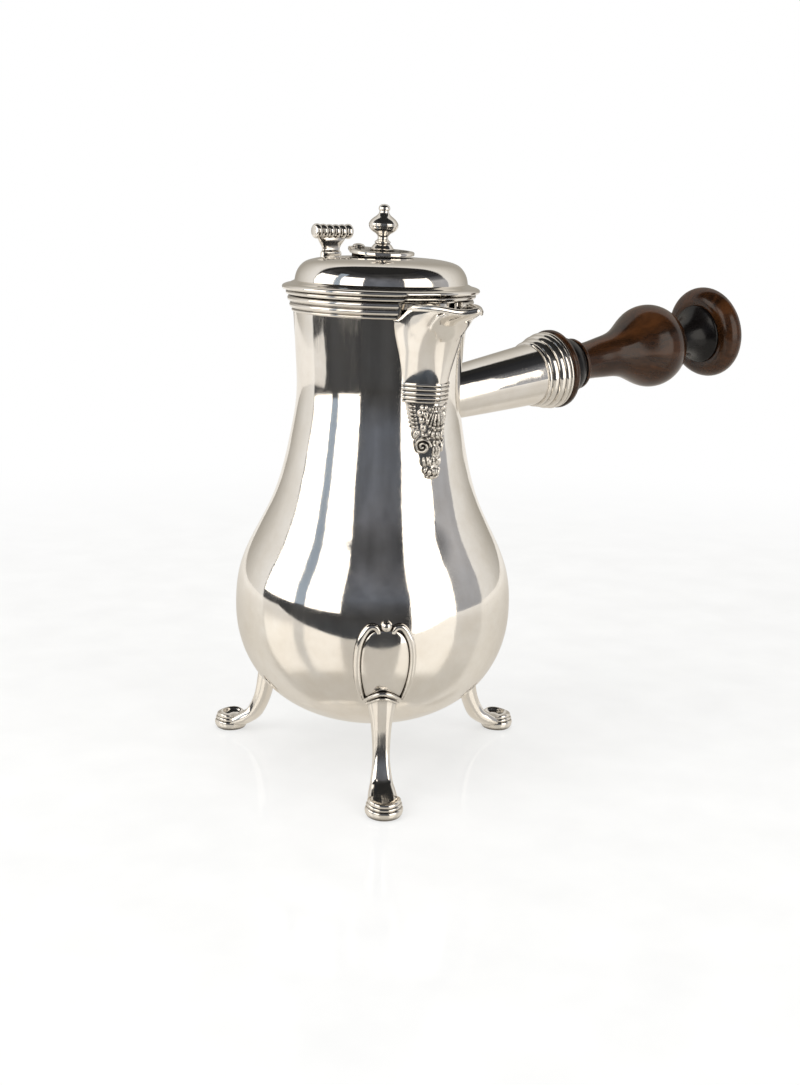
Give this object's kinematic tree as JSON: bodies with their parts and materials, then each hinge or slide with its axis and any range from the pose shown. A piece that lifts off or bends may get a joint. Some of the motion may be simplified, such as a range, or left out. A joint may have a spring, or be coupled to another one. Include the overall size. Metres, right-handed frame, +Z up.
{
  "type": "chocolate pot",
  "caption": "Silver chocolate pot: pear body on cabriole legs, beak spout, turned wooden side handle, hinged domed lid with a swivelling cover over its stirring hole",
  "frame": {"origin": "middle of the pot's outline in plan, on the table the feet stand on", "axes": "+Z up, +X the way the side handle points, -Y the way the spout pours, +Y the lid hinge; the pot's own axis stands at x = -74.7 mm, y = 0.5 mm"},
  "size_m": [0.2712, 0.141, 0.2455],
  "materials": {
    "silver": "polished",
    "fruitwood": "polished"
  },
  "bodies": {
    "pot": {"vessel": "silver", "rim_moulding": "silver", "spout_beak": "silver", "spout_lip_wire": "silver", "spout_band": "silver", "spout_drop": "silver", "front_leg": "silver", "handle_leg": "silver", "back_leg": "silver", "handle_socket": "silver", "socket_ferrule": "silver", "wooden_handle": "fruitwood", "handle_pin": "silver", "hinge_body_leaf": "silver", "hinge_pin": "silver"},
    "lid": {"lid_flange": "silver", "lid_dome": "silver", "lid_bezel": "silver", "hinge_lid_leaf": "silver", "thumbpiece": "silver", "cover_pivot": "silver", "pivot_washer": "silver"},
    "cover": {"swivel_cover": "silver", "finial": "silver"}
  },
  "joints": [
    {"name": "lid_hinge", "type": "hinge", "parent": "pot", "child": "lid", "pos_m": [-0.07469, 0.04566, 0.2096], "axis": [-1, 0, 0], "range_deg": [0, 105]},
    {"name": "cover_swivel", "type": "hinge", "parent": "lid", "child": "cover", "pos_m": [-0.07469, 0.0184, 0.22623], "axis": [0, -0.0489, 0.9988], "range_deg": [-100, 100]}
  ]
}
